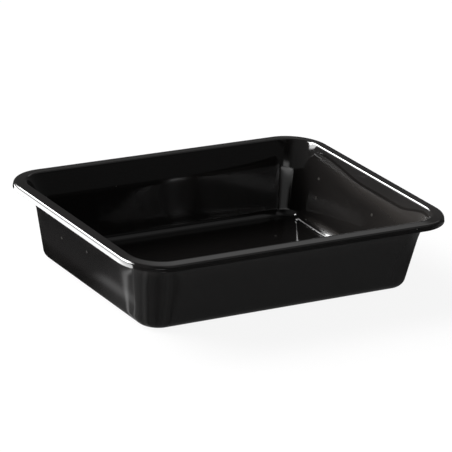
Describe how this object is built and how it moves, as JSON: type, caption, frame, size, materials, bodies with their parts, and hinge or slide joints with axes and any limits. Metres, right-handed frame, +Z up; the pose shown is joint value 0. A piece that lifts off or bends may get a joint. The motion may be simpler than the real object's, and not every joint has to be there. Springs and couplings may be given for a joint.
{
  "type": "sealable food tray",
  "caption": "Open rectangular food tray with rounded corners, drafted walls and a wide flat rim flange that a film lid is heat-sealed to.",
  "frame": {"origin": "middle of the flat underside, on the surface that the tray stands on", "axes": "+X along the tray's length, +Y along its width, +Z up"},
  "size_m": [0.227, 0.178, 0.0492],
  "materials": {
    "black_plastic": "glossy, smooth thermoformed sheet"
  },
  "bodies": {
    "root": {"tray": "black_plastic"}
  },
  "joints": []
}
